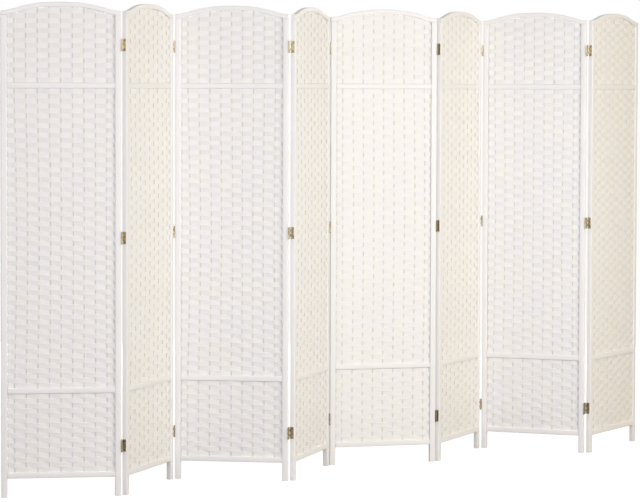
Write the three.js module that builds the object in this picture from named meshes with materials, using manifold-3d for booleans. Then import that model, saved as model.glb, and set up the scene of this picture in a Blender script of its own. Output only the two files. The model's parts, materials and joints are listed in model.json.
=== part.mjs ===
// Free-standing folding screen: eight wooden panels with woven infill, joined by two-way hinges.
//
// Units are millimetres and +Z is up. The screen stands in a zigzag. +X runs along it from the
// first panel to the last, and the origin is on the floor at the centre of its bounding box.
//
// A panel is drawn in its own frame: x along the panel from its left end, y from its front face
// to its back face, z up from the floor. A two-way hinge is two leaves and a middle web. Its
// front barrel joins the web to the leaf on one panel, its back barrel joins the web to the leaf
// on the next, so the fold can close to either side.

import * as THREE from 'three';
import { mergeVertices } from 'three/addons/utils/BufferGeometryUtils.js';
import Module from 'manifold-3d';

// ---------------------------------------------------------------- panel

const PANEL_WIDTH = 435;
const FRAME_THICKNESS = 18;
const STILE_WIDTH = 22;
const SHOULDER_HEIGHT = 1768; // top of the top rail where it crosses the stiles
const ARCH_RISE = 32; // crest of the top rail above its shoulders
const ARCH_FOOT = 0.12; // handles of the arch curve, as shares of the panel width
const ARCH_HEAD = 0.32;
const ARCH_SEGMENTS = 8; // straight facets in each half of the arch
const TOP_RAIL_HEIGHT = 17;
const RAIL_HEIGHT = 20;
const LEG_LENGTH = 70; // clear height below the bottom rail
const LOWER_RAIL_Z = 378; // underside of the lower cross rail
const UPPER_RAIL_DROP = 281; // from the shoulders down to the underside of the upper cross rail

// ---------------------------------------------------------------- infill

const WEAVE_THICKNESS = 11;
const EDGE_STAKE_INSET = 5; // from a stile's inner face to the middle of the edge stake
const OUTER_STAKE_INSET = 27.5; // from a stile's inner face to the first stake inside the weave
const STAKE_WIDTH = 4;
const STAKE_DEPTH = 4;

// ---------------------------------------------------------------- hinges

const HINGE_HEIGHT = 45;
const LOW_HINGE_Z = 182; // middle of the hinge above the floor
const MIDDLE_HINGE_Z = 942;
const TOP_HINGE_DROP = 123; // from the shoulders down to the middle of the top hinge
const LEAF_THICKNESS = 1.2;
const LEAF_MARGIN = 1; // from a leaf's long edge to the stile's face
const WEB_THICKNESS = 1;
const LEAF_PLAY = 0.8; // between a leaf and the web when they lie together
const KNUCKLE_RADIUS = 2.2;
const PIN_RADIUS = 1;
const KNUCKLE_SIDES = 8;
const PIN_SIDES = 6;

// ---------------------------------------------------------------- clearances

const SEAT_GAP = 0.3; // between pieces that touch
const BARREL_CLEARANCE = 0.2; // between a barrel and the plane of the panel's face
const PIN_CLEARANCE = 0.3;

// ---------------------------------------------------------------- folds

// Degrees that each fold is turned from flat. The first closes at the back, the next at the
// front, and so on along the screen.
const FOLD_ANGLES = [62, 78, 80, 57, 49.5, 84.5, 78];

// ---------------------------------------------------------------- derived sizes

const PANEL_COUNT = FOLD_ANGLES.length + 1;
const HINGE_GAP = 2 * (LEAF_THICKNESS + LEAF_PLAY) + WEB_THICKNESS; // between two panels in line
const BARREL_OFFSET = KNUCKLE_RADIUS + BARREL_CLEARANCE; // barrel axis outside the face
const FRONT_BARREL_Y = -BARREL_OFFSET;
const BACK_BARREL_Y = FRAME_THICKNESS + BARREL_OFFSET;
const HINGE_LEVELS = {
  low: LOW_HINGE_Z,
  middle: MIDDLE_HINGE_Z,
  top: SHOULDER_HEIGHT - TOP_HINGE_DROP,
};
const UPPER_RAIL_Z = SHOULDER_HEIGHT - UPPER_RAIL_DROP;
const INNER_LEFT = STILE_WIDTH + SEAT_GAP;
const INNER_RIGHT = PANEL_WIDTH - STILE_WIDTH - SEAT_GAP;
const MID_X = PANEL_WIDTH / 2;
const MID_Y = FRAME_THICKNESS / 2;
const BORE_RADIUS = (PIN_RADIUS + PIN_CLEARANCE) / Math.cos(Math.PI / PIN_SIDES);
const OVERRUN = 1; // how far a cutter runs past what it cuts
const WELD = 0.1; // how far fused solids run into each other

const wasm = await Module();
wasm.setup();

// ---------------------------------------------------------------- solids

function toSolid(source) {
  const geometry = source.clone();
  geometry.deleteAttribute('normal');
  geometry.deleteAttribute('uv');
  const merged = mergeVertices(geometry, 1e-4);
  return new wasm.Manifold(new wasm.Mesh({
    numProp: 3,
    vertProperties: new Float32Array(merged.attributes.position.array),
    triVerts: new Uint32Array(merged.index.array),
  }));
}

function toGeometry(solid) {
  const mesh = solid.getMesh();
  const geometry = new THREE.BufferGeometry();
  geometry.setAttribute('position', new THREE.BufferAttribute(mesh.vertProperties, 3));
  geometry.setIndex(new THREE.BufferAttribute(mesh.triVerts, 1));
  geometry.computeVertexNormals();
  return geometry;
}

function block(x, y, z) {
  const size = [x, y, z].map(([low, high]) => high - low);
  const middle = [x, y, z].map(([low, high]) => (low + high) / 2);
  return toSolid(new THREE.BoxGeometry(...size).translate(...middle));
}

function around(middle, width) {
  return [middle - width / 2, middle + width / 2];
}

function upright(x, y, [low, high], radius, sides) {
  const geometry = new THREE.CylinderGeometry(radius, radius, high - low, sides);
  geometry.rotateX(Math.PI / 2);
  geometry.rotateZ(Math.PI / sides);
  geometry.translate(x, y, (low + high) / 2);
  return toSolid(geometry);
}

function join(solids) {
  return solids.reduce((whole, solid) => whole.add(solid));
}

function cut(whole, solids) {
  return solids.reduce((rest, solid) => rest.subtract(solid), whole);
}

// A closed outline of [x, z] points, as thick as the frame plus a margin on both faces.
function plate(points, margin = 0) {
  const shape = new THREE.Shape(points.map(([x, z]) => new THREE.Vector2(x, z)));
  const depth = FRAME_THICKNESS + 2 * margin;
  const geometry = new THREE.ExtrudeGeometry(shape, { depth, bevelEnabled: false });
  geometry.rotateX(Math.PI / 2);
  geometry.translate(0, FRAME_THICKNESS + margin, 0);
  return toSolid(geometry);
}

// ---------------------------------------------------------------- top rail

// Points along the wave-shaped top of a panel, lowered by drop.
function archLine(drop) {
  const low = SHOULDER_HEIGHT - drop;
  const high = low + ARCH_RISE;
  const path = new THREE.Path();
  path.moveTo(0, low);
  path.bezierCurveTo(
    ARCH_FOOT * PANEL_WIDTH, low,
    MID_X - ARCH_HEAD * PANEL_WIDTH, high,
    MID_X, high,
  );
  path.bezierCurveTo(
    MID_X + ARCH_HEAD * PANEL_WIDTH, high,
    PANEL_WIDTH - ARCH_FOOT * PANEL_WIDTH, low,
    PANEL_WIDTH, low,
  );
  return path.getPoints(ARCH_SEGMENTS).map(({ x, y }) => [x, y]);
}

function topRail() {
  return plate([...archLine(TOP_RAIL_HEIGHT), ...archLine(0).reverse()]);
}

// Everything above the seat of the top rail, to trim the stiles and the weave below it.
function aboveTopRailSeat() {
  const seat = archLine(TOP_RAIL_HEIGHT + SEAT_GAP);
  const ceiling = SHOULDER_HEIGHT + ARCH_RISE + OVERRUN;
  const [firstX, firstZ] = seat[0];
  const [lastX, lastZ] = seat[seat.length - 1];
  return plate([
    [firstX - OVERRUN, firstZ],
    ...seat,
    [lastX + OVERRUN, lastZ],
    [lastX + OVERRUN, ceiling],
    [firstX - OVERRUN, ceiling],
  ], OVERRUN);
}

// ---------------------------------------------------------------- hinge parts

// A leaf lies on the end of a panel at endX, with the gap on its side given by outward (1 or -1).
// Its barrel is at barrelY, and its knuckle stands on the web's.
function hingeLeaf(endX, outward, barrelY, level) {
  const axisX = endX + outward * HINGE_GAP / 2;
  const face = endX + outward * LEAF_THICKNESS;
  const [bottom, top] = around(level, HINGE_HEIGHT);
  const leafEdge = barrelY < MID_Y ? LEAF_MARGIN : FRAME_THICKNESS - LEAF_MARGIN;
  const across = [endX - outward * WELD, face].sort((a, b) => a - b);
  const neckAcross = [axisX - outward * KNUCKLE_RADIUS, face].sort((a, b) => a - b);
  const neckAlong = [barrelY, leafEdge + Math.sign(MID_Y - barrelY) * WELD].sort((a, b) => a - b);
  const knuckleSpan = [level + SEAT_GAP / 2, top];
  const bore = upright(axisX, barrelY, [level, top + OVERRUN], BORE_RADIUS, PIN_SIDES);
  return join([
    block(across, [LEAF_MARGIN, FRAME_THICKNESS - LEAF_MARGIN], [bottom, top]),
    block(neckAcross, neckAlong, knuckleSpan),
    upright(axisX, barrelY, knuckleSpan, KNUCKLE_RADIUS, KNUCKLE_SIDES),
  ]).subtract(bore);
}

// The web stands in the middle of the gap, x = 0, in the frame of the panel it lies against.
// Each barrel has one web knuckle, and the pin that stands in it carries the leaf's knuckle.
function hingeWeb(level) {
  const [bottom, top] = around(level, HINGE_HEIGHT);
  const knuckleSpan = [bottom, level - SEAT_GAP / 2];
  const pinSpan = [(bottom + level) / 2, top];
  const reach = KNUCKLE_RADIUS + SEAT_GAP;
  const across = around(0, WEB_THICKNESS);
  const parts = [
    block(across, [FRONT_BARREL_Y + reach, BACK_BARREL_Y - reach], [bottom, top]),
    block(across, [FRONT_BARREL_Y, BACK_BARREL_Y], knuckleSpan),
  ];
  for (const barrelY of [FRONT_BARREL_Y, BACK_BARREL_Y]) {
    parts.push(upright(0, barrelY, knuckleSpan, KNUCKLE_RADIUS, KNUCKLE_SIDES));
    parts.push(upright(0, barrelY, pinSpan, PIN_RADIUS, PIN_SIDES));
  }
  return join(parts);
}

// ---------------------------------------------------------------- panel parts

function stile(xRange, leaves) {
  const blank = block(xRange, [0, FRAME_THICKNESS], [0, SHOULDER_HEIGHT + ARCH_RISE]);
  return join([blank.subtract(aboveTopRailSeat()), ...leaves]);
}

function leftStile(hinged) {
  const levels = hinged ? Object.values(HINGE_LEVELS) : [];
  const leaves = levels.map((level) => hingeLeaf(0, -1, BACK_BARREL_Y, level));
  return stile([0, STILE_WIDTH], leaves);
}

function rightStile(hinged) {
  const levels = hinged ? Object.values(HINGE_LEVELS) : [];
  const leaves = levels.map((level) => hingeLeaf(PANEL_WIDTH, 1, FRONT_BARREL_Y, level));
  return stile([PANEL_WIDTH - STILE_WIDTH, PANEL_WIDTH], leaves);
}

function crossRail(bottom) {
  return block([INNER_LEFT, INNER_RIGHT], [0, FRAME_THICKNESS], [bottom, bottom + RAIL_HEIGHT]);
}

function stake(x, span, clearance = 0) {
  const across = around(x, STAKE_WIDTH + 2 * clearance);
  return block(across, around(MID_Y, STAKE_DEPTH + 2 * clearance), span);
}

// The stakes that run from section to section, through the cross rails.
function throughStakeXs() {
  const outer = STILE_WIDTH + OUTER_STAKE_INSET;
  return [outer, MID_X, PANEL_WIDTH - outer];
}

// The four rails, held together by the two edge stakes that stand beside the stiles.
function rails() {
  const low = LEG_LENGTH;
  const high = SHOULDER_HEIGHT - TOP_RAIL_HEIGHT / 2;
  const edgeXs = [
    STILE_WIDTH + EDGE_STAKE_INSET,
    PANEL_WIDTH - STILE_WIDTH - EDGE_STAKE_INSET,
  ];
  const edgeStakes = edgeXs.map((x) => stake(x, [low + WELD, high]));
  const drilled = [LOWER_RAIL_Z, UPPER_RAIL_Z].map((bottom) => {
    const span = [bottom - OVERRUN, bottom + RAIL_HEIGHT + OVERRUN];
    const holes = throughStakeXs().map((x) => stake(x, span, SEAT_GAP));
    return cut(crossRail(bottom), holes);
  });
  return join([crossRail(LEG_LENGTH), ...drilled, topRail(), ...edgeStakes]);
}

// The three woven sections. Their stakes run on through the drilled cross rails.
function weave() {
  const inset = STILE_WIDTH + EDGE_STAKE_INSET + STAKE_WIDTH / 2 + SEAT_GAP;
  const across = [inset, PANEL_WIDTH - inset];
  const along = around(MID_Y, WEAVE_THICKNESS);
  const ceiling = SHOULDER_HEIGHT + ARCH_RISE;
  const floors = [LEG_LENGTH, LOWER_RAIL_Z, UPPER_RAIL_Z].map((z) => z + RAIL_HEIGHT + SEAT_GAP);
  const heads = [LOWER_RAIL_Z - SEAT_GAP, UPPER_RAIL_Z - SEAT_GAP, ceiling];
  const sections = floors.map((low, index) => block(across, along, [low, heads[index]]));
  const stakeSpan = [LOWER_RAIL_Z - OVERRUN, UPPER_RAIL_Z + RAIL_HEIGHT + OVERRUN];
  const stakes = throughStakeXs().map((x) => stake(x, stakeSpan));
  return join([...sections, ...stakes]).subtract(aboveTopRailSeat());
}

// ---------------------------------------------------------------- materials

const paintedWood = new THREE.MeshStandardMaterial({
  name: 'painted_wood', color: 0xe9e8e4, roughness: 0.5, metalness: 0,
});
const wovenPaper = new THREE.MeshStandardMaterial({
  name: 'woven_paper', color: 0xe4e1d8, roughness: 0.85, metalness: 0,
});
const agedBrass = new THREE.MeshStandardMaterial({
  name: 'aged_brass', color: 0x8a6a35, roughness: 0.4, metalness: 0.9,
});

function named(name, solid, material) {
  const mesh = new THREE.Mesh(toGeometry(solid), material);
  mesh.name = name;
  return mesh;
}

// ---------------------------------------------------------------- standing zigzag

// Where each panel and web stands: its origin and its turn about +Z in radians.
function placePanels() {
  const closesAtBack = (fold) => fold % 2 === 0;
  const turned = (x, y, heading) => new THREE.Vector2(x, y).rotateAround(new THREE.Vector2(), heading);
  const panels = [{ origin: new THREE.Vector2(), heading: 0 }];
  const webs = [];
  FOLD_ANGLES.forEach((angle, fold) => {
    const { origin, heading } = panels[fold];
    const barrelY = closesAtBack(fold) ? BACK_BARREL_Y : FRONT_BARREL_Y;
    const turn = THREE.MathUtils.degToRad(closesAtBack(fold) ? angle : -angle);
    const nextHeading = heading + turn;
    const axis = origin.clone().add(turned(PANEL_WIDTH + HINGE_GAP / 2, barrelY, heading));
    const nextOrigin = axis.clone().sub(turned(-HINGE_GAP / 2, barrelY, nextHeading));
    const webHeading = closesAtBack(fold) ? heading : nextHeading;
    webs.push({ origin: axis.clone().sub(turned(0, barrelY, webHeading)), heading: webHeading });
    panels.push({ origin: nextOrigin, heading: nextHeading });
  });
  return { panels, webs };
}

function standing({ origin, heading }, name) {
  const group = new THREE.Group();
  group.name = name;
  group.position.set(origin.x, origin.y, 0);
  group.rotation.z = heading;
  return group;
}

function buildPanel(place, number) {
  const group = standing(place, `panel_${number}`);
  const name = (piece) => `panel_${number}_${piece}`;
  group.add(named(name('stile_left'), leftStile(number > 1), paintedWood));
  group.add(named(name('stile_right'), rightStile(number < PANEL_COUNT), paintedWood));
  group.add(named(name('rails'), rails(), paintedWood));
  group.add(named(name('weave'), weave(), wovenPaper));
  return group;
}

function buildFold(place, number) {
  const group = standing(place, `fold_${number}`);
  for (const [level, height] of Object.entries(HINGE_LEVELS)) {
    group.add(named(`fold_${number}_web_${level}`, hingeWeb(height), agedBrass));
  }
  return group;
}

function buildScreen() {
  const { panels, webs } = placePanels();
  const zigzag = new THREE.Group();
  panels.forEach((place, index) => zigzag.add(buildPanel(place, index + 1)));
  webs.forEach((place, index) => zigzag.add(buildFold(place, index + 1)));
  const last = panels[panels.length - 1];
  const end = new THREE.Vector2(PANEL_WIDTH, 0)
    .rotateAround(new THREE.Vector2(), last.heading)
    .add(last.origin);
  zigzag.rotation.z = -end.angle();
  const screen = new THREE.Group();
  screen.add(zigzag);
  screen.updateMatrixWorld(true);
  const box = new THREE.Box3().setFromObject(screen, true);
  const centre = box.getCenter(new THREE.Vector3());
  zigzag.position.set(-centre.x, -centre.y, -box.min.z);
  return screen;
}

export default buildScreen();
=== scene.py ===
import json
import math

import bpy
import numpy as np
from mathutils import Matrix, Vector


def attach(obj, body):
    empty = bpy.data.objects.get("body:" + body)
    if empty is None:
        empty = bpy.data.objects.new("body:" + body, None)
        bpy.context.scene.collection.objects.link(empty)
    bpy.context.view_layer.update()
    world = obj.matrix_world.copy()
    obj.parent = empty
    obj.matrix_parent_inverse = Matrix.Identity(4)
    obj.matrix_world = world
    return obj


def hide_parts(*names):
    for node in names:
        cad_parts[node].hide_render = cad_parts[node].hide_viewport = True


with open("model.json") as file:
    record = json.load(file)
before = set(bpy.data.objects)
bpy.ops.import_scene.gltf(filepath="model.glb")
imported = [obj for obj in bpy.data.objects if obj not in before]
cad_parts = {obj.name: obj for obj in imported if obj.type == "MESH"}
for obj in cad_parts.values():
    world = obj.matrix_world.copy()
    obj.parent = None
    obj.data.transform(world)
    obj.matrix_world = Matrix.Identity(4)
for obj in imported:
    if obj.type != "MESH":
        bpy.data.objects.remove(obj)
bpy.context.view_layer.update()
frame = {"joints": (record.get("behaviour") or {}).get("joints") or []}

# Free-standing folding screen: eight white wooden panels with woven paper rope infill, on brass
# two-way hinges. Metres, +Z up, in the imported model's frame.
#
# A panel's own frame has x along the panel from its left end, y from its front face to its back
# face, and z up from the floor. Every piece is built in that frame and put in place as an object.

MM = 0.001

# ---------------------------------------------------------------- sizes of a panel

PANEL_COUNT = 8
PANEL_WIDTH = 435 * MM
FRAME_THICKNESS = 18 * MM
STILE_WIDTH = 22 * MM
SHOULDER_HEIGHT = 1768 * MM
ARCH_RISE = 32 * MM
ARCH_FOOT = 0.12  # handles of the arch curve, as shares of the panel width
ARCH_HEAD = 0.32
TOP_RAIL_HEIGHT = 17 * MM
RAIL_HEIGHT = 20 * MM
LEG_LENGTH = 70 * MM
LOWER_RAIL_Z = 378 * MM
UPPER_RAIL_Z = SHOULDER_HEIGHT - 281 * MM
SEAT_GAP = 0.3 * MM
EDGE_RADIUS = 2 * MM  # rounded edges of the painted members
END_CHAMFER = 0.7 * MM
MEMBER_SMOOTH = math.radians(40)  # edges sharper than this stay crisp

# ---------------------------------------------------------------- sizes of the weave

EDGE_STAKE_INSET = 4 * MM  # from a stile's inner face
OUTER_STAKE_INSET = 27.5 * MM
INNER_STAKE_COUNT = 9
STAKE_WIDTH = 4 * MM
STAKE_DEPTH = 2 * MM
ROW_PITCH = 17.85 * MM
ROW_GAP = 0.05 * MM  # between one band and the next
RAIL_GAP = 0.2 * MM  # between a rail and the nearest band
UPPER_RAIL_GAP = 1.3 * MM  # the weave settles away from the upper rail
HEM_DEPTH = 0.8 * MM  # of the cord that closes that wider gap, behind the stakes
BAND_THICKNESS = 1.6 * MM
BAND_EDGE = 0.9  # of the thickness: how blunt the edges of a band are
BAND_SMOOTH = math.radians(50)  # edges sharper than this stay crisp, such as those of a band
CORDS_IN_BAND = 4
CORD_VALLEY = 0.7  # depth of the groove between two cords, as a share of half the thickness
BAND_CLEARANCE = 0.1 * MM
TURN_CLEARANCE = 0.3 * MM  # from a band's turn round an edge stake to the stile
TURN_SQUARENESS = 0.6  # 1 is a round turn, and less is squarer
TURN_ROOM = 1.5  # a band's turn rises only if this many rows fit from the band's foot to the arch
CROSSING_SHARPNESS = 0.93  # how straight a band runs from one side of the stakes to the other
CROSSING_STEPS = (0, 0.2, 0.5, 0.8)  # of the way from one stake to the next
BAND_WAVER = 0.2 * MM
WAVER_RATES = (3, 9)  # least and most waves in a metre of a seam
WEAVE_FORWARD = 2 * MM  # of the middle of the frame
LEAST_BAND = 4 * MM  # a band cut by the arch ends where it is lower than this
SPAN_SAMPLES = 400  # places along a band that are tried for that
ROWS_IN_STAKE_STEP = 4  # the most that one straight stretch of a stake passes

# The pull of the weave bows the stakes of the tall middle section. For each panel, in mm at mid-height:
# how far the outer stakes are drawn in, how far all are drawn to the right, and how far the weave stands
# forward.
BOWS = {
    1: (7.5, 4.5, 0.5), 2: (5, 6, 2.0), 3: (8.5, 3, 0.5), 4: (5, 7, 2.0),
    5: (-1.5, 3.5, 0.5), 6: (4, 3, 1.0), 7: (5, 1, 0.5), 8: (3, 0, 0.5),
}
BOW_SPREAD = 1.2 * MM  # of one stake from the next
EDGE_BOW = 0.06  # share of the bow that reaches the edge stakes
BOW_SEED = 300  # of the random draws, to which the panel's number is added

# How pale each panel's paper and paint are, about 1.3 % to a step. The real panels are taken to be alike:
# these steps make up for what the lights below don't give of the photograph's fall of light.
PANEL_LIGHT_TONES = {1: -1.0, 2: -1.1, 3: 1.1, 4: 1.2, 5: -2.2, 6: 1.1, 7: 1.3, 8: -0.3}
BAND_TONE = 0.4  # spread of the bands about their panel's tone
TONE_RANGE = (-5, 3)  # from the dullest tone to the palest
DULLEST = 0.67  # share of the dull colour at the dullest tone

# ---------------------------------------------------------------- sizes of a hinge

HINGE_HEIGHT = 45 * MM
HINGE_LEVELS = {"low": 182 * MM, "middle": 942 * MM, "top": SHOULDER_HEIGHT - 123 * MM}
HINGE_GAP = 5 * MM
BARREL_OFFSET = 2.4 * MM
LEAF_THICKNESS = 1.2 * MM
LEAF_MARGIN = 1 * MM
LEAF_FREE_MARGIN = 3.2 * MM  # at the edge away from the barrel
LEAF_CORNER = 1 * MM
WEB_THICKNESS = 1 * MM
PLATE_CORNER = 0.3 * MM
PLATE_EASE = 0.15 * MM  # of the edges of leaves, webs and necks
KNUCKLE_RADIUS = 2.2 * MM
KNUCKLE_COUNT = 5  # three on the web, two on the leaf
KNUCKLE_GAP = 0.3 * MM
SLEEVE_SIDES = 20
PIN_RADIUS = 1.3 * MM
PIN_PROUD = 0.5 * MM
PIN_SIDES = 14
SCREW_RADIUS = 2.5 * MM
SCREW_SPREAD = 15 * MM  # of a leaf's two screws, each way from its middle
SCREW_SLOT = 0.7 * MM
# Height over the leaf and share of the radius, from the foot of a screw's head to its face.
SCREW_PROFILE = ((-0.4 * MM, 1), (0.12 * MM, 1), (0.3 * MM, 0.82))
SCREW_ARC_POINTS = 12
SCREW_SEED = 100  # of the random turns of the screws, to which the panel's number is added
HINGE_SMOOTH = math.radians(30)  # edges sharper than this stay crisp
# How far each hinge has tarnished, by fold and by level, around an even patina at zero. Partly painted
# shade and light: the hinge at fold 5 is darkened for the shade of the panel beside it, the low hinges
# darkened and the top ones paled for how the light falls.
FOLD_TARNISH_AND_SHADE = {1: 0.02, 2: 0.04, 3: 0.05, 4: 0.04, 5: 0.16, 6: 0.04, 7: 0.06}
LEVEL_TARNISH_AND_SHADE = {"low": 0.06, "middle": 0.0, "top": -0.05}

FRONT_BARREL_Y = -BARREL_OFFSET
BACK_BARREL_Y = FRAME_THICKNESS + BARREL_OFFSET
MID_X = PANEL_WIDTH / 2
MID_Y = FRAME_THICKNESS / 2
INNER_LEFT = STILE_WIDTH + SEAT_GAP
INNER_RIGHT = PANEL_WIDTH - STILE_WIDTH - SEAT_GAP

# ---------------------------------------------------------------- camera, in pixels and degrees

IMAGE_WIDTH = 640
SENSOR_WIDTH = 36.0
FOCAL_PIXELS = 2691.4
CAMERA_PLACE = (-5.8324, -8.7569, 1.5004)
CAMERA_HEADING = 56.868  # of the view, from +X towards +Y
CAMERA_PITCH = -2.4
CAMERA_ROLL = 0.167
SHIFT_PIXELS = -52.84
CAMERA_CLIP = (0.1, 200.0)

# ---------------------------------------------------------------- light

# Degrees to the right of the camera, metres away, metres aside, height, size, watts and colour.
LIGHTS = {
    "front_softbox": (0, 5.0, 0.0, 1.5, (5.0, 2.2), 130, (0.89, 0.89, 1.0)),
    "right_softbox": (60, 5.0, 0.0, 1.5, (3.5, 2.2), 55, (1.0, 0.66, 0.02)),
    "right_light": (50, 3.0, 0.2, 1.4, (1.2, 1.2), 47, (0.74, 0.82, 1.0)),
    "front_light": (0, 2.8, 0.9, 1.2, (1.2, 1.2), 5, (0.90, 1.0, 0.80)),
    "back_softbox": (180, 5.0, 0.0, 1.5, (5.0, 2.2), 140, (1.0, 0.96, 0.92)),
}
LIGHT_AIM = (0, 0, 1.1)
AMBIENT_COLOUR = (1.0, 0.93, 0.86, 1)
AMBIENT_STRENGTH = 0.46

FLOOR_REACH = 60.0
FLOOR_COLOUR = (0.2, 0.2, 0.2, 1)  # as it lights the screen
SEEN_FLOOR_COLOUR = (0.30, 0.30, 0.30, 1)  # as the camera and mirrors see it, under the glow
SEEN_FLOOR_GLOW = 0.86

# ---------------------------------------------------------------- colours

PAINT_COLOURS = ((0.80, 0.79, 0.77, 1), (0.835, 0.825, 0.805, 1))  # between which the paint drifts
DULL_PAINT = (0.70, 0.69, 0.67, 1)
PAINTED_GRAIN = (0.70, 0.685, 0.655, 1)
PAPER_COLOURS = ((0.848, 0.838, 0.841, 1), (0.861, 0.848, 0.796, 1))  # between which the paper drifts
DULL_PAPER = (0.72, 0.71, 0.68, 1)
PAPER_BLOTCH = (0.72, 0.70, 0.655, 1)
PAPER_GROOVE_SHADE = (0.70, 0.685, 0.65, 1)  # painted shade in the groove between two turns of the twist
# Pale, tan and dark: the wood's tan, darkened with painted shade for the shade the bands cast on the
# stakes.
STAKE_COLOURS = ((0.70, 0.695, 0.635, 1), (0.64, 0.635, 0.57, 1), (0.56, 0.555, 0.49, 1))
# Pale, mid and dark grey of the edge stakes: painted shade, darker than the frame's paint, for the shaded
# hole where a band turns round an edge stake.
EDGE_STAKE_SHADED_GREYS = ((0.74, 0.73, 0.71, 1), (0.67, 0.66, 0.64, 1), (0.57, 0.56, 0.54, 1))
BRASS_COLOURS = ((0.60, 0.545, 0.395, 1), (0.23, 0.185, 0.105, 1))  # bright and tarnished
SCREW_COLOURS = ((0.14, 0.115, 0.075, 1), (0.07, 0.055, 0.035, 1))


# ================================================================ mesh building


class Mesher:
    """Gathers closed lofts of rings of points and makes one mesh of them."""

    def __init__(self, shade=0.0):
        self.shade = shade
        self.points = []
        self.corners = []
        self.sizes = []
        self.slots = []
        self.shades = []
        self.count = 0

    def loft(self, rings, slot=0, shade=None):
        """rings is (steps, around, 3). A ring runs counter-clockwise about the way the steps go."""
        rings = np.asarray(rings, float)
        steps, around, _ = rings.shape
        index = self.count + np.arange(steps * around).reshape(steps, around)
        beside = np.roll(index, -1, axis=1)
        quads = np.stack([index[:-1], beside[:-1], beside[1:], index[1:]], axis=-1).reshape(-1, 4)
        self.points.append(rings.reshape(-1, 3))
        self.corners += [quads.reshape(-1), index[0, ::-1], index[-1]]
        self.sizes += [np.full(len(quads), 4), np.array([around, around])]
        self.slots.append(np.full(len(quads) + 2, slot))
        self.shades.append(np.full(steps * around, self.shade if shade is None else shade))
        self.count += steps * around

    def mesh(self, name, smooth_angle=MEMBER_SMOOTH):
        points = np.concatenate(self.points)
        corners = np.concatenate(self.corners)
        sizes = np.concatenate(self.sizes)
        made = bpy.data.meshes.new(name)
        made.vertices.add(len(points))
        made.vertices.foreach_set("co", points.astype(np.float32).reshape(-1))
        made.loops.add(len(corners))
        made.loops.foreach_set("vertex_index", corners.astype(np.int32))
        made.polygons.add(len(sizes))
        made.polygons.foreach_set("loop_start", (np.cumsum(sizes) - sizes).astype(np.int32))
        made.polygons.foreach_set("material_index", np.concatenate(self.slots).astype(np.int32))
        made.update(calc_edges=True)
        made.polygons.foreach_set("use_smooth", np.ones(len(sizes), bool))
        made.set_sharp_from_angle(angle=smooth_angle)
        shade = made.attributes.new("shade", "FLOAT", "POINT")
        shade.data.foreach_set("value", np.concatenate(self.shades).astype(np.float32))
        made.validate()
        return made


def rounded_rectangle(half_u, half_v, radius, corner_steps=3):
    """Points (u, v) counter-clockwise around a rectangle with rounded corners, centred on zero."""
    points = []
    for quarter in range(4):
        signs = ((1, -1), (1, 1), (-1, 1), (-1, -1))[quarter]
        centre = np.array([signs[0] * (half_u - radius), signs[1] * (half_v - radius)])
        start = math.radians(-90 + 90 * quarter)
        for step in range(corner_steps + 1):
            angle = start + math.radians(90) * step / corner_steps
            points.append(centre + radius * np.array([math.cos(angle), math.sin(angle)]))
    return np.array(points)


def circle(radius, sides):
    angles = np.arange(sides) * 2 * math.pi / sides
    return radius * np.stack([np.cos(angles), np.sin(angles)], axis=-1)


def inset_outline(half_u, half_v, radius, inset):
    return rounded_rectangle(half_u - inset, half_v - inset, max(radius - inset, radius / 4))


# ================================================================ the arch


def arch_samples(steps=64):
    """x and rise of the wave-shaped top, along two Bezier halves."""
    t = np.linspace(0, 1, steps)[:, None]
    weights = np.concatenate([(1 - t) ** 3, 3 * t * (1 - t) ** 2, 3 * t * t * (1 - t), t ** 3], axis=1)
    handles_x = np.array([0, ARCH_FOOT * PANEL_WIDTH, MID_X - ARCH_HEAD * PANEL_WIDTH, MID_X])
    handles_z = np.array([0, 0, ARCH_RISE, ARCH_RISE])
    left_x, left_z = weights @ handles_x, weights @ handles_z
    return (
        np.concatenate([left_x, PANEL_WIDTH - left_x[-2::-1]]),
        np.concatenate([left_z, left_z[-2::-1]]),
    )


ARCH_X, ARCH_Z = arch_samples()


def arch_top(x):
    return SHOULDER_HEIGHT + np.interp(x, ARCH_X, ARCH_Z)


def arch_underside(x):
    return arch_top(x) - TOP_RAIL_HEIGHT


# ================================================================ painted members


def stile_rings(low_x):
    """A stile that stands on the floor and is trimmed to the underside of the top rail."""
    half_u, half_v = STILE_WIDTH / 2, FRAME_THICKNESS / 2
    middle = np.array([low_x + half_u, MID_Y])
    rings = []
    for z, inset in ((0, END_CHAMFER), (END_CHAMFER, 0), (None, 0)):
        outline = inset_outline(half_u, half_v, EDGE_RADIUS, inset) + middle
        top = arch_underside(outline[:, 0]) - SEAT_GAP
        height = top if z is None else np.full(len(outline), z)
        rings.append(np.column_stack([outline, height]))
    return rings


def level_rings(xs, low, high, half_y=FRAME_THICKNESS / 2):
    """A member that runs along x between the heights low(x) and high(x), chamfered at its ends."""
    last = len(xs) - 1
    rings = []
    for step, x in enumerate(xs):
        inset = END_CHAMFER if step in (0, last) else 0
        bottom, top = low(x), high(x)
        outline = inset_outline(half_y, (top - bottom) / 2, EDGE_RADIUS, inset)
        ring = np.column_stack([
            np.full(len(outline), x), MID_Y + outline[:, 0], (bottom + top) / 2 + outline[:, 1],
        ])
        rings.append(ring)
    return rings


def cross_rail_rings(bottom):
    xs = [INNER_LEFT, INNER_LEFT + END_CHAMFER, INNER_RIGHT - END_CHAMFER, INNER_RIGHT]
    return level_rings(xs, lambda x: bottom, lambda x: bottom + RAIL_HEIGHT)


def top_rail_rings():
    end = 2 * END_CHAMFER
    inner = ARCH_X[(ARCH_X > end) & (ARCH_X <= PANEL_WIDTH - end)]
    xs = [0, END_CHAMFER, *inner, PANEL_WIDTH - END_CHAMFER, PANEL_WIDTH]
    return level_rings(xs, arch_underside, arch_top)


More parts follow.
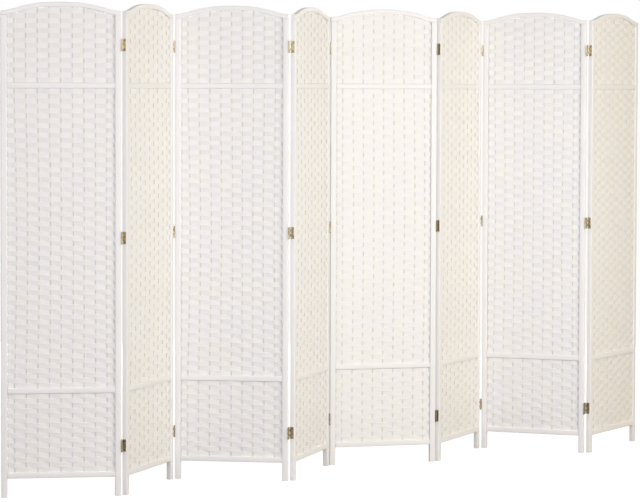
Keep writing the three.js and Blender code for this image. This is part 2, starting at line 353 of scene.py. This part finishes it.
def stile_mesh(name, low_x, tone):
    mesher = Mesher(tone)
    mesher.loft(stile_rings(low_x))
    return mesher.mesh(name)


def rails_mesh(name, tone):
    mesher = Mesher(tone)
    for bottom in (LEG_LENGTH, LOWER_RAIL_Z, UPPER_RAIL_Z):
        mesher.loft(cross_rail_rings(bottom))
    mesher.loft(top_rail_rings())
    return mesher.mesh(name)


# ================================================================ weave


def even_stakes():
    """x of every stake of a panel, the two edge stakes included."""
    edge = STILE_WIDTH + EDGE_STAKE_INSET
    outer = STILE_WIDTH + OUTER_STAKE_INSET
    inner = np.linspace(outer, PANEL_WIDTH - outer, INNER_STAKE_COUNT)
    return np.array([edge, *inner, PANEL_WIDTH - edge])


STAKES = even_stakes()


def sections():
    """(floor, ceiling(x), row pitch, number of rows) of the three woven sections."""
    made = []
    spans = ((LEG_LENGTH, LOWER_RAIL_Z - RAIL_GAP), (LOWER_RAIL_Z, UPPER_RAIL_Z - UPPER_RAIL_GAP))
    for bottom, roof in spans:
        floor = bottom + RAIL_HEIGHT + RAIL_GAP
        count = round((roof - floor) / ROW_PITCH)
        made.append((floor, lambda x, roof=roof: roof + 0 * x, (roof - floor) / count, count))
    floor = UPPER_RAIL_Z + RAIL_HEIGHT + UPPER_RAIL_GAP
    count = math.ceil((arch_underside(MID_X) - floor) / ROW_PITCH)
    made.append((floor, arch_underside, ROW_PITCH, count))
    return made


SECTIONS = sections()


class Bow:
    """How far a panel's stakes stand from their straight places."""

    def __init__(self, number):
        waist, sway, self.forward = (value * MM for value in BOWS[number])
        rng = np.random.default_rng(BOW_SEED + number)
        share = np.linspace(1, -1, len(STAKES))
        self.reach = sway + waist * share + rng.normal(0, BOW_SPREAD, len(STAKES))
        self.reach[[0, -1]] *= EDGE_BOW
        self.low, self.high = LOWER_RAIL_Z + RAIL_HEIGHT, UPPER_RAIL_Z

    def share(self, z):
        along = (z - self.low) / (self.high - self.low)
        return math.sin(math.pi * along) if 0 < along < 1 else 0.0

    def stakes(self, z):
        """x of every stake at height z."""
        return STAKES + self.reach * self.share(z)

    def middle_y(self, z):
        """y of the middle of the weave at height z."""
        return MID_Y - WEAVE_FORWARD - self.forward * self.share(z)


def stakes_mesh(name, which, bow):
    """The stakes numbered in which, each in three lengths that reach from rail to rail."""
    mesher = Mesher()
    outline = rounded_rectangle(STAKE_WIDTH / 2, STAKE_DEPTH / 2, STAKE_DEPTH / 3, corner_steps=2)
    for stake in which:
        for floor, ceiling, _, count in SECTIONS:
            top = float(ceiling(STAKES[stake])) + UPPER_RAIL_GAP
            rings = []
            for z in np.linspace(floor - UPPER_RAIL_GAP, top, 2 + count // ROWS_IN_STAKE_STEP):
                middle = (bow.stakes(z)[stake], bow.middle_y(z))
                rings.append(np.column_stack([outline + middle, np.full(len(outline), z)]))
            mesher.loft(rings)
    return mesher.mesh(name)


def band_outline():
    """(v, w) of a band's section: v up, from -0.5 to 0.5, and w towards the front, from -1 to 1."""
    steps = np.arange(1, 2 * CORDS_IN_BAND)
    v = steps / (2 * CORDS_IN_BAND) - 0.5
    w = np.where(steps % 2, 1.0, CORD_VALLEY)
    front = np.column_stack([v, w])
    back = np.column_stack([v[::-1], -w[::-1]])
    low, high = ([[-0.5, -BAND_EDGE], [-0.5, BAND_EDGE]], [[0.5, BAND_EDGE], [0.5, -BAND_EDGE]])
    return np.concatenate([low, front, high, back])


BAND_OUTLINE = band_outline()
BAND_SWING = STAKE_DEPTH / 2 + BAND_CLEARANCE + BAND_THICKNESS / 2
TURN_REACH = EDGE_STAKE_INSET - BAND_THICKNESS / 2 - TURN_CLEARANCE
TURN_STEPS = np.radians([20, 50, 90])  # of a band's turn round an edge stake
TURN_OUT = np.sin(TURN_STEPS) ** TURN_SQUARENESS  # share of the turn's reach
TURN_BACK = np.cos(TURN_STEPS) ** TURN_SQUARENESS  # share of the swing
TURN_RISE = 1 - np.cos(TURN_STEPS)


def crossing(t):
    """How a band goes from one side of the stakes (1) to the other (-1) as t goes from 0 to 1."""
    return np.arcsin(CROSSING_SHARPNESS * np.cos(math.pi * t)) / math.asin(CROSSING_SHARPNESS)


def band_path(row, stakes, rise_left, rise_right):
    """x, depth and added height along a row that winds past every stake and round both edge stakes."""
    sides = np.where((np.arange(len(stakes)) + row) % 2, 1.0, -1.0)
    xs, depths = [], []
    for left, right, side in zip(stakes, stakes[1:], sides):
        for t in CROSSING_STEPS:
            xs.append(left + (right - left) * t)
            depths.append(side * crossing(t))
    xs.append(stakes[-1])
    depths.append(sides[-1])
    x = [stakes[0] - TURN_REACH * TURN_OUT[::-1], xs, stakes[-1] + TURN_REACH * TURN_OUT]
    depth = [sides[0] * TURN_BACK[::-1], depths, sides[-1] * TURN_BACK]
    added = [rise_left * TURN_RISE[::-1], np.zeros(len(xs)), rise_right * TURN_RISE]
    return np.concatenate(x), BAND_SWING * np.concatenate(depth), np.concatenate(added)


def clip_path(x, depth, low_x, high_x):
    """The stretch of a path from low_x to high_x, without its turns."""
    turn = len(TURN_STEPS)
    x, depth = x[turn:-turn], depth[turn:-turn]
    clipped = np.array([low_x, *x[(x > low_x) & (x < high_x)], high_x])
    return clipped, np.interp(clipped, x, depth), 0 * clipped


def turn_rises(row, count, pitch):
    """How far a row's left and right ends rise, so that each row runs on into the next."""
    rises = np.array([-0.5, 0.5] if row % 2 == 0 else [0.5, -0.5]) * pitch
    if row == 0:
        rises = np.maximum(rises, 0)
    if row == count - 1:
        rises = np.minimum(rises, 0)
    return rises


def waver(rng):
    """The slow wave along x of the seam between two bands."""
    rate = 2 * math.pi * rng.uniform(*WAVER_RATES)
    phase = rng.uniform(0, 2 * math.pi)
    lift = rng.normal(0, BAND_WAVER / 2)
    return lambda x: lift + BAND_WAVER * np.sin(rate * x + phase)


def band_rings(row, section, bow, low_seam, high_seam):
    """Rings of one band. Where it runs into the arch, it is lowered or cut short."""
    floor, ceiling, pitch, count = section
    bottom = floor + row * pitch + ROW_GAP / 2
    top = bottom + pitch - ROW_GAP
    middle = (bottom + top) / 2
    stakes = bow.stakes(middle)
    rises = turn_rises(row, count, pitch)
    room = ceiling(stakes[[0, -1]]) - SEAT_GAP - bottom
    rises = np.where(room < TURN_ROOM * pitch, np.minimum(rises, 0), rises)
    x, depth, added = band_path(row, stakes, *rises)
    if room.min() < LEAST_BAND:
        span = np.linspace(stakes[0], stakes[-1], SPAN_SAMPLES)
        span = span[ceiling(span) - SEAT_GAP - bottom > LEAST_BAND]
        x, depth, added = clip_path(x, depth, span[0], span[-1])
    y = bow.middle_y(middle) + depth
    tangent = np.column_stack([np.gradient(x), np.gradient(y)])
    tangent /= np.linalg.norm(tangent, axis=1)[:, None]
    outward = np.column_stack([tangent[:, 1], -tangent[:, 0]])
    lows = np.maximum(bottom + low_seam(x), floor)
    highs = np.minimum(top + high_seam(x), ceiling(x) - SEAT_GAP)
    v, w = BAND_OUTLINE[:, 0], BAND_OUTLINE[:, 1] * BAND_THICKNESS / 2
    ring_x = x[:, None] + outward[:, :1] * w
    ring_y = y[:, None] + outward[:, 1:] * w
    ring_z = ((lows + highs) / 2 + added)[:, None] + (highs - lows)[:, None] * v
    return np.stack([ring_x, ring_y, ring_z], axis=-1)[:, ::-1]


def hem_rings(bottom, bow):
    """Rings of the cord, behind the stakes, in the gap above or below the upper rail."""
    half_z = UPPER_RAIL_GAP / 2 - ROW_GAP
    outline = rounded_rectangle(HEM_DEPTH / 2, half_z, HEM_DEPTH / 4, corner_steps=2)
    y = bow.middle_y(bottom) + STAKE_DEPTH / 2 + BAND_CLEARANCE + HEM_DEPTH / 2
    z = bottom + UPPER_RAIL_GAP / 2
    xs = (STAKES[0] - TURN_REACH, MID_X, STAKES[-1] + TURN_REACH)
    return [np.column_stack([np.full(len(outline), x), outline + (y, z)]) for x in xs]


def weave_mesh(name, number, bow):
    """All the bands of a panel, and the two hem cords beside its upper rail."""
    rng = np.random.default_rng(number)
    mesher = Mesher()
    for section in SECTIONS:
        seams = [waver(rng) for _ in range(section[-1] + 1)]
        for row, (low_seam, high_seam) in enumerate(zip(seams, seams[1:])):
            tone = PANEL_LIGHT_TONES[number] + BAND_TONE * rng.normal()
            mesher.loft(band_rings(row, section, bow, low_seam, high_seam), shade=tone)
    for bottom in (UPPER_RAIL_Z - UPPER_RAIL_GAP, UPPER_RAIL_Z + RAIL_HEIGHT):
        mesher.loft(hem_rings(bottom, bow), shade=PANEL_LIGHT_TONES[number])
    return mesher.mesh(name, smooth_angle=BAND_SMOOTH)


# ================================================================ hinges


def knuckle_spans(level, of_web):
    """(low, high) of the web's or the leaf's knuckles."""
    edges = np.linspace(level - HINGE_HEIGHT / 2, level + HINGE_HEIGHT / 2, KNUCKLE_COUNT + 1)
    first = 0 if of_web else 1
    return [
        (edges[k] + KNUCKLE_GAP / 2, edges[k + 1] - KNUCKLE_GAP / 2)
        for k in range(first, KNUCKLE_COUNT, 2)
    ]


# A hinge's tarnish, with painted shade and light added: darker at fold 5 and at the low level, paler at
# the top.
def tarnish(fold, level):
    return FOLD_TARNISH_AND_SHADE[fold] + LEVEL_TARNISH_AND_SHADE[level]


def round_ring(x, y, z, radius, sides):
    """A level ring of points about (x, y) at height z."""
    return np.column_stack([circle(radius, sides) + [x, y], np.full(sides, z)])


def add_sleeve(mesher, x, y, low, high):
    """A rolled knuckle, with its ends eased."""
    ease = KNUCKLE_RADIUS / 8
    for_ends = ((low, ease), (low + ease, 0), (high - ease, 0), (high, ease))
    mesher.loft([round_ring(x, y, z, KNUCKLE_RADIUS - inset, SLEEVE_SIDES) for z, inset in for_ends])


def add_slab(mesher, x_range, y_range, z_range, radius=PLATE_CORNER):
    """A plate in the yz plane with rounded corners and eased edges."""
    half_y, half_z = (y_range[1] - y_range[0]) / 2, (z_range[1] - z_range[0]) / 2
    middle = np.array([(y_range[0] + y_range[1]) / 2, (z_range[0] + z_range[1]) / 2])
    ease = min(PLATE_EASE, (x_range[1] - x_range[0]) / 4)
    for_faces = (
        (x_range[0], ease), (x_range[0] + ease, 0), (x_range[1] - ease, 0), (x_range[1], ease),
    )
    rings = []
    for x, inset in for_faces:
        outline = inset_outline(half_y, half_z, radius, inset) + middle
        rings.append(np.column_stack([np.full(len(outline), x), outline]))
    mesher.loft(rings)


def add_pin(mesher, x, y, level):
    """The rounded ends of the pin, above and below the barrel."""
    for end in (-1, 1):
        face = level + end * HINGE_HEIGHT / 2
        heights = np.array([-PIN_PROUD, PIN_PROUD / 2, PIN_PROUD]) * end + face
        radii = (PIN_RADIUS, PIN_RADIUS, PIN_RADIUS / 2)
        rings = [round_ring(x, y, z, radius, PIN_SIDES) for z, radius in zip(heights, radii)]
        mesher.loft(rings if end > 0 else rings[::-1])


def add_screw(mesher, face_x, outward, y, z, turn):
    """A slotted countersunk head: two halves of a disc, a little proud of the leaf."""
    half_slot = SCREW_SLOT / 2
    reach = math.sqrt(SCREW_RADIUS ** 2 - half_slot ** 2)
    start = math.asin(half_slot / SCREW_RADIUS)
    angles = np.linspace(start, math.pi - start, SCREW_ARC_POINTS)
    arc = SCREW_RADIUS * np.column_stack([np.cos(angles), np.sin(angles)])
    for flip in (0, math.pi):
        spin = turn + flip
        spun = arc @ np.array([[math.cos(spin), math.sin(spin)], [-math.sin(spin), math.cos(spin)]])
        centre = np.array([-math.sin(spin), math.cos(spin)]) * reach / 2
        rings = []
        for proud, share in SCREW_PROFILE:
            outline = centre + (spun - centre) * share
            x = np.full(len(outline), face_x + outward * proud)
            rings.append(np.column_stack([x, outline + [y, z]]))
        mesher.loft(rings if outward > 0 else [ring[::-1] for ring in rings], slot=1)


def leaf_mesh(name, end_x, outward, barrel_y, level, shade, rng):
    """A hinge leaf screwed to the end of a panel, with its two knuckles."""
    mesher = Mesher(shade)
    face = end_x + outward * LEAF_THICKNESS
    axis_x = end_x + outward * HINGE_GAP / 2
    across = sorted((end_x, face))
    half = HINGE_HEIGHT / 2
    inward = 1 if barrel_y < MID_Y else -1
    edge = LEAF_MARGIN if barrel_y < MID_Y else FRAME_THICKNESS - LEAF_MARGIN
    free = FRAME_THICKNESS - LEAF_FREE_MARGIN if barrel_y < MID_Y else LEAF_FREE_MARGIN
    add_slab(mesher, across, sorted((edge, free)), (level - half, level + half), LEAF_CORNER)
    for low, high in knuckle_spans(level, of_web=False):
        add_sleeve(mesher, axis_x, barrel_y, low, high)
        neck_x = sorted((axis_x - outward * KNUCKLE_RADIUS, face))
        neck_y = sorted((barrel_y, edge + inward * LEAF_MARGIN))
        add_slab(mesher, neck_x, neck_y, (low, high))
    for z in (level - SCREW_SPREAD, level + SCREW_SPREAD):
        add_screw(mesher, face, outward, MID_Y, z, rng.uniform(0, math.pi))
    return mesher.mesh(name, smooth_angle=HINGE_SMOOTH)


def web_mesh(name, level, shade):
    """The middle plate of a two-way hinge, with three knuckles and a pin at each edge."""
    mesher = Mesher(shade)
    half = HINGE_HEIGHT / 2
    across = (-WEB_THICKNESS / 2, WEB_THICKNESS / 2)
    reach = KNUCKLE_RADIUS + KNUCKLE_GAP
    add_slab(
        mesher, across, (FRONT_BARREL_Y + reach, BACK_BARREL_Y - reach), (level - half, level + half),
    )
    for low, high in knuckle_spans(level, of_web=True):
        add_slab(mesher, across, (FRONT_BARREL_Y, BACK_BARREL_Y), (low, high))
        for barrel_y in (FRONT_BARREL_Y, BACK_BARREL_Y):
            add_sleeve(mesher, 0, barrel_y, low, high)
    for barrel_y in (FRONT_BARREL_Y, BACK_BARREL_Y):
        add_pin(mesher, 0, barrel_y, level)
    return mesher.mesh(name, smooth_angle=HINGE_SMOOTH)


# ================================================================ materials


class Shader:
    """A small helper that adds nodes to a new material and links them."""

    MIX_INPUTS = (0, 6, 7)  # factor and two colours of a Mix node that mixes colours
    MIX_OUTPUT = 2

    def __init__(self, name):
        self.material = bpy.data.materials.new(name)
        self.material.use_nodes = True
        self.tree = self.material.node_tree
        self.bsdf = self.tree.nodes["Principled BSDF"]

    def node(self, kind, inputs=None, **settings):
        made = self.tree.nodes.new(kind)
        for key, value in settings.items():
            setattr(made, key, value)
        for key, value in (inputs or {}).items():
            self.feed(made.inputs[key], value)
        return made

    def feed(self, socket, value):
        """Links a socket to another one, or sets it to a plain value."""
        if isinstance(value, bpy.types.NodeSocket):
            self.tree.links.new(value, socket)
        else:
            socket.default_value = value

    def place(self, scale):
        """The piece's own coordinates, stretched by scale, in metres."""
        own = self.node("ShaderNodeTexCoord").outputs["Object"]
        return self.node("ShaderNodeMapping", {"Vector": own, "Scale": scale}).outputs["Vector"]

    def noise(self, scale, stretch=(1, 1, 1), detail=2.0, roughness=0.5):
        inputs = {"Vector": self.place(stretch), "Scale": scale, "Detail": detail, "Roughness": roughness}
        return self.node("ShaderNodeTexNoise", inputs).outputs["Fac"]

    def spread(self, value, low, high, to_low, to_high):
        inputs = {
            "Value": value, "From Min": low, "From Max": high, "To Min": to_low, "To Max": to_high,
        }
        return self.node("ShaderNodeMapRange", inputs).outputs["Result"]

    def blend(self, factor, first, second):
        made = self.node("ShaderNodeMix", data_type="RGBA")
        for index, value in zip(self.MIX_INPUTS, (factor, first, second)):
            self.feed(made.inputs[index], value)
        return made.outputs[self.MIX_OUTPUT]

    def toned(self, colour, dull):
        """The colour, the nearer to dull the lower the tone of the piece. A panel's tone is painted light
        and shade; the bands' random spread about it is the paper's own.
        """
        tone = self.node("ShaderNodeAttribute", attribute_name="shade").outputs["Fac"]
        return self.blend(self.spread(tone, *TONE_RANGE, DULLEST, 0), colour, dull)

    def bump(self, height, distance, strength=1.0, below=None):
        inputs = {"Height": height, "Distance": distance, "Strength": strength}
        if below is not None:
            inputs["Normal"] = below
        return self.node("ShaderNodeBump", inputs).outputs["Normal"]

    def surface(self, **inputs):
        for key, value in inputs.items():
            self.feed(self.bsdf.inputs[key.replace("_", " ")], value)
        return self.material


def painted_wood(name, grain):
    """Satin white paint over close-grained wood. grain is the stretch of the grain's coordinates."""
    shader = Shader(name)
    drift = shader.noise(5.0, detail=3.0)
    streaks = shader.noise(1.0, grain, detail=4.0, roughness=0.6)
    colour = shader.blend(shader.spread(drift, 0.3, 0.7, 0, 1), *PAINT_COLOURS)
    # the panel's tone: painted light and shade
    colour = shader.toned(colour, DULL_PAINT)
    colour = shader.blend(shader.spread(streaks, 0.62, 0.8, 0, 0.35), colour, PAINTED_GRAIN)
    orange_peel = shader.noise(900.0, detail=1.0)
    normal = shader.bump(streaks, 0.25 * MM, 0.5)
    normal = shader.bump(orange_peel, 0.03 * MM, 0.4, below=normal)
    return shader.surface(
        Base_Color=colour,
        Roughness=shader.spread(streaks, 0.3, 0.7, 0.34, 0.50),
        Normal=normal,
        Specular_IOR_Level=0.35,
    )


def woven_paper():
    """Twisted paper cord, dyed white: a fine slanting lay, a little fuzz, and bands that differ. The
    grooves of the lay are darkened with painted shade, and each panel's tone carries painted light and
    shade.
    """
    shader = Shader("woven_paper")
    drift = shader.noise(18.0, (1, 1, 2.5), detail=3.0)
    cast = shader.noise(30.0, (1, 1, 0.25), detail=2.0)
    colour = shader.blend(shader.spread(cast, 0.35, 0.65, 0, 1), *PAPER_COLOURS)
    # the panel's tone, painted light and shade, with the bands' own random spread about it
    colour = shader.toned(colour, DULL_PAPER)
    colour = shader.blend(shader.spread(drift, 0.55, 0.8, 0, 0.2), colour, PAPER_BLOTCH)
    lay = shader.node(
        "ShaderNodeTexWave",
        {"Vector": shader.place((1, 0, 0.35)), "Scale": 114.0, "Distortion": 2.0, "Detail": 1.5,
         "Detail Scale": 3.0},
        wave_type="BANDS", bands_direction="DIAGONAL",
    ).outputs["Fac"]
    # painted shade darkens the grooves of the lay
    colour = shader.blend(shader.spread(lay, 0, 0.5, 0.30, 0), colour, PAPER_GROOVE_SHADE)
    fibre = shader.noise(650.0, (0.35, 1, 1), detail=2.0)
    normal = shader.bump(lay, 0.35 * MM, 0.5)
    normal = shader.bump(fibre, 0.15 * MM, 0.5, below=normal)
    return shader.surface(
        Base_Color=colour,
        Roughness=shader.spread(fibre, 0.3, 0.7, 0.78, 0.92),
        Normal=normal,
        Sheen_Weight=0.15,
        Specular_IOR_Level=0.3,
    )


def bare_stake(name, pale, tan, dark):
    """Wooden stakes, which show between the bands as short grey-tan dashes. Their colours are partly
    painted shade, darkened for the shade they stand in between the bands.
    """
    shader = Shader(name)
    grain = shader.noise(1.0, (900, 900, 25), detail=3.0)
    along = shader.noise(30.0, detail=2.0)
    colour = shader.blend(grain, tan, pale)
    colour = shader.blend(shader.spread(along, 0.4, 0.7, 0, 0.5), colour, dark)
    return shader.surface(
        Base_Color=colour,
        Roughness=shader.spread(grain, 0.2, 0.8, 0.6, 0.8),
        Normal=shader.bump(grain, 0.15 * MM, 0.6),
    )


def aged_metal(name, bright, dark):
    """Metal with a dark patina that is worn back in places, more of it the further it has tarnished; that
    share also holds painted shade and light, by fold and by level.
    """
    shader = Shader(name)
    worn = shader.noise(190.0, (1, 1, 0.6), detail=5.0, roughness=0.65)
    # how far the hinge has tarnished, painted shade and light included
    further = shader.node("ShaderNodeAttribute", attribute_name="shade").outputs["Fac"]
    patina = shader.node("ShaderNodeMath", {0: worn, 1: further}, operation="ADD").outputs[0]
    brushed = shader.noise(1.0, (4000, 4000, 180), detail=2.0)
    colour = shader.blend(shader.spread(patina, 0.38, 0.64, 0, 1), bright, dark)
    return shader.surface(
        Base_Color=colour,
        Metallic=1.0,
        Roughness=shader.spread(patina, 0.3, 0.7, 0.30, 0.52),
        Normal=shader.bump(brushed, 0.05 * MM, 0.35),
    )


MATERIALS = {
    "upright": painted_wood("painted_wood_upright", (260, 260, 9)),
    "level": painted_wood("painted_wood_level", (9, 260, 260)),
    "paper": woven_paper(),
    "stake": bare_stake("stake_wood", *STAKE_COLOURS),
    "edge_stake": bare_stake("edge_stake_wood", *EDGE_STAKE_SHADED_GREYS),
    "brass": aged_metal("aged_brass", *BRASS_COLOURS),
    "screw": aged_metal("screw_steel", *SCREW_COLOURS),
}


# ================================================================ placing

JOINTS = {joint["name"]: joint for joint in frame["joints"]}


def closing_barrel(fold):
    """The first fold closes at the back, the next at the front, and so on."""
    return "back" if fold % 2 else "front"


def barrel(fold, side):
    """(x, y) of a barrel's axis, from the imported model."""
    x, y, _ = JOINTS[f"fold_{fold}_{side}"]["pos_m"]
    return Vector((x, y))


def fold_turn(fold):
    """Turn from one panel to the next. The closing barrel's range starts where the two are in line."""
    angle = math.radians(JOINTS[f"fold_{fold}_{closing_barrel(fold)}"]["range_deg"][0])
    return -angle if closing_barrel(fold) == "back" else angle


def bearing(vector):
    return math.atan2(vector.y, vector.x)


def standing(origin_on, own_point, heading):
    """A frame turned by heading about Z, whose own_point lies on origin_on."""
    turn = Matrix.Rotation(heading, 4, "Z")
    offset = turn @ Vector((*own_point, 0))
    return Matrix.Translation(Vector((*origin_on, 0)) - offset) @ turn


def place_panels():
    """The frame of each panel and of each hinge web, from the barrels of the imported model."""
    left_barrel = (-HINGE_GAP / 2, BACK_BARREL_Y)
    right_barrel = (PANEL_WIDTH + HINGE_GAP / 2, FRONT_BARREL_Y)
    across = Vector(right_barrel) - Vector(left_barrel)
    second = bearing(barrel(2, "front") - barrel(1, "back")) - bearing(across)
    headings = [second - fold_turn(1)]
    for fold in range(1, PANEL_COUNT):
        headings.append(headings[-1] + fold_turn(fold))
    panels = {1: standing(barrel(1, "front"), right_barrel, headings[0])}
    webs = {}
    for fold in range(1, PANEL_COUNT):
        panels[fold + 1] = standing(barrel(fold, "back"), left_barrel, headings[fold])
        along = headings[fold - 1] if closing_barrel(fold) == "back" else headings[fold]
        webs[fold] = standing(barrel(fold, "front"), (0, FRONT_BARREL_Y), along)
    return panels, webs


def put(name, mesh, materials, place, body, replaces=()):
    """Makes an object of a mesh, in place, riding on its body."""
    piece = bpy.data.objects.new(name, mesh)
    bpy.context.scene.collection.objects.link(piece)
    for material in materials:
        mesh.materials.append(MATERIALS[material])
    piece.matrix_world = place
    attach(piece, body)
    if replaces:
        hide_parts(*replaces)
    return piece


def build_panel(number, place):
    body = f"panel_{number}"

    def add(part, mesh, materials, slot, *nodes):
        put(f"{body}_{part}", mesh, materials, place, body, [f"{body}_{node}" for node in nodes])

    tone = PANEL_LIGHT_TONES[number]
    for side, low_x in (("left", 0), ("right", PANEL_WIDTH - STILE_WIDTH)):
        mesh = stile_mesh(f"{body}_{side}_stile", low_x, tone)
        add(f"{side}_stile", mesh, ["upright"], "painted_wood", f"stile_{side}")
    add("frame_rails", rails_mesh(f"{body}_frame_rails", tone), ["level"], "painted_wood", "rails")
    bow = Bow(number)
    edges, inner = (0, len(STAKES) - 1), range(1, len(STAKES) - 1)
    mesh = stakes_mesh(f"{body}_edge_stakes", edges, bow)
    add("edge_stakes", mesh, ["edge_stake"], "painted_wood", "rails")
    mesh = stakes_mesh(f"{body}_inner_stakes", inner, bow)
    add("inner_stakes", mesh, ["stake"], "woven_paper", "weave")
    add("bands", weave_mesh(f"{body}_bands", number, bow), ["paper"], "woven_paper", "weave")
    rng = np.random.default_rng(SCREW_SEED + number)
    for level, height in HINGE_LEVELS.items():
        if number > 1:
            shade = tarnish(number - 1, level)
            leaf = leaf_mesh(f"{body}_left_leaf_{level}", 0, -1, BACK_BARREL_Y, height, shade, rng)
            add(f"left_leaf_{level}", leaf, ["brass", "screw"], "aged_brass", "stile_left")
        if number < PANEL_COUNT:
            shade = tarnish(number, level)
            leaf = leaf_mesh(
                f"{body}_right_leaf_{level}", PANEL_WIDTH, 1, FRONT_BARREL_Y, height, shade, rng,
            )
            add(f"right_leaf_{level}", leaf, ["brass", "screw"], "aged_brass", "stile_right")


def build_screen():
    panels, webs = place_panels()
    for number, place in panels.items():
        build_panel(number, place)
    for fold, place in webs.items():
        for level, height in HINGE_LEVELS.items():
            name = f"fold_{fold}_plate_{level}"
            mesh = web_mesh(name, height, tarnish(fold, level))
            put(name, mesh, ["brass"], place, f"fold_{fold}", [f"fold_{fold}_web_{level}"])


# ================================================================ studio


def light_path_mix(tree, seen, lit, output):
    """Shows seen to the camera, in mirrors and through glass, and lit to every other ray."""
    path = tree.nodes.new("ShaderNodeLightPath")
    either = path.outputs["Is Camera Ray"]
    for ray in ("Is Glossy Ray", "Is Transmission Ray"):
        more = tree.nodes.new("ShaderNodeMath")
        more.operation = "MAXIMUM"
        tree.links.new(either, more.inputs[0])
        tree.links.new(path.outputs[ray], more.inputs[1])
        either = more.outputs[0]
    mix = tree.nodes.new("ShaderNodeMixShader")
    tree.links.new(either, mix.inputs[0])
    tree.links.new(lit, mix.inputs[1])
    tree.links.new(seen, mix.inputs[2])
    tree.links.new(mix.outputs[0], output)


def build_floor():
    low, high = -FLOOR_REACH, FLOOR_REACH
    mesh = bpy.data.meshes.new("floor")
    mesh.from_pydata(
        [(low, low, 0), (high, low, 0), (high, high, 0), (low, high, 0)], [], [(0, 1, 2, 3)],
    )
    floor = bpy.data.objects.new("floor", mesh)
    bpy.context.scene.collection.objects.link(floor)
    material = bpy.data.materials.new("floor")
    material.use_nodes = True
    tree = material.node_tree
    tree.nodes.clear()
    output = tree.nodes.new("ShaderNodeOutputMaterial")
    pale = tree.nodes.new("ShaderNodeBsdfDiffuse")
    pale.inputs["Color"].default_value = FLOOR_COLOUR
    faint = tree.nodes.new("ShaderNodeBsdfDiffuse")
    faint.inputs["Color"].default_value = SEEN_FLOOR_COLOUR
    glow = tree.nodes.new("ShaderNodeEmission")
    glow.inputs["Strength"].default_value = SEEN_FLOOR_GLOW
    both = tree.nodes.new("ShaderNodeAddShader")
    tree.links.new(faint.outputs[0], both.inputs[0])
    tree.links.new(glow.outputs[0], both.inputs[1])
    light_path_mix(tree, both.outputs[0], pale.outputs[0], output.inputs["Surface"])
    mesh.materials.append(material)


def build_world():
    world = bpy.data.worlds.new("studio")
    world.use_nodes = True
    tree = world.node_tree
    tree.nodes.clear()
    output = tree.nodes.new("ShaderNodeOutputWorld")
    seen = tree.nodes.new("ShaderNodeBackground")
    seen.inputs["Color"].default_value = (1, 1, 1, 1)
    seen.inputs["Strength"].default_value = 1.0
    lit = tree.nodes.new("ShaderNodeBackground")
    lit.inputs["Color"].default_value = AMBIENT_COLOUR
    lit.inputs["Strength"].default_value = AMBIENT_STRENGTH
    light_path_mix(tree, seen.outputs[0], lit.outputs[0], output.inputs["Surface"])
    bpy.context.scene.world = world


def in_front(turn, distance, aside, height):
    """A place seen from the screen's middle: turned to the right of the camera, then moved aside."""
    view = math.radians(CAMERA_HEADING)
    forward = Vector((math.cos(view), math.sin(view), 0))
    right = Vector((math.sin(view), -math.cos(view), 0))
    turn = math.radians(turn)
    across = math.sin(turn) * distance + aside
    return right * across - forward * math.cos(turn) * distance + Vector((0, 0, height))


def add_area_light(name, turn, distance, aside, height, size, power, colour):
    data = bpy.data.lights.new(name, "AREA")
    data.shape = "RECTANGLE"
    data.size, data.size_y = size
    data.energy = power
    data.color = colour
    light = bpy.data.objects.new(name, data)
    bpy.context.scene.collection.objects.link(light)
    light.visible_camera = False
    light.location = in_front(turn, distance, aside, height)
    light.rotation_euler = (Vector(LIGHT_AIM) - light.location).to_track_quat("-Z", "Y").to_euler()


def build_camera():
    data = bpy.data.cameras.new("camera")
    data.sensor_fit = "HORIZONTAL"
    data.sensor_width = SENSOR_WIDTH
    data.lens = FOCAL_PIXELS * SENSOR_WIDTH / IMAGE_WIDTH
    data.shift_y = SHIFT_PIXELS / IMAGE_WIDTH
    data.clip_start, data.clip_end = CAMERA_CLIP
    camera = bpy.data.objects.new("camera", data)
    bpy.context.scene.collection.objects.link(camera)
    heading, pitch = math.radians(CAMERA_HEADING), math.radians(CAMERA_PITCH)
    aim = Vector((
        math.cos(heading) * math.cos(pitch), math.sin(heading) * math.cos(pitch), math.sin(pitch),
    ))
    level = aim.to_track_quat("-Z", "Y").to_matrix()
    camera.location = CAMERA_PLACE
    camera.rotation_euler = (level @ Matrix.Rotation(math.radians(CAMERA_ROLL), 3, "Z")).to_euler()
    bpy.context.scene.camera = camera


def build_studio():
    build_floor()
    build_world()
    build_camera()
    for name, light in LIGHTS.items():
        add_area_light(name, *light)
    bpy.context.scene.view_settings.view_transform = "Standard"


build_studio()
build_screen()
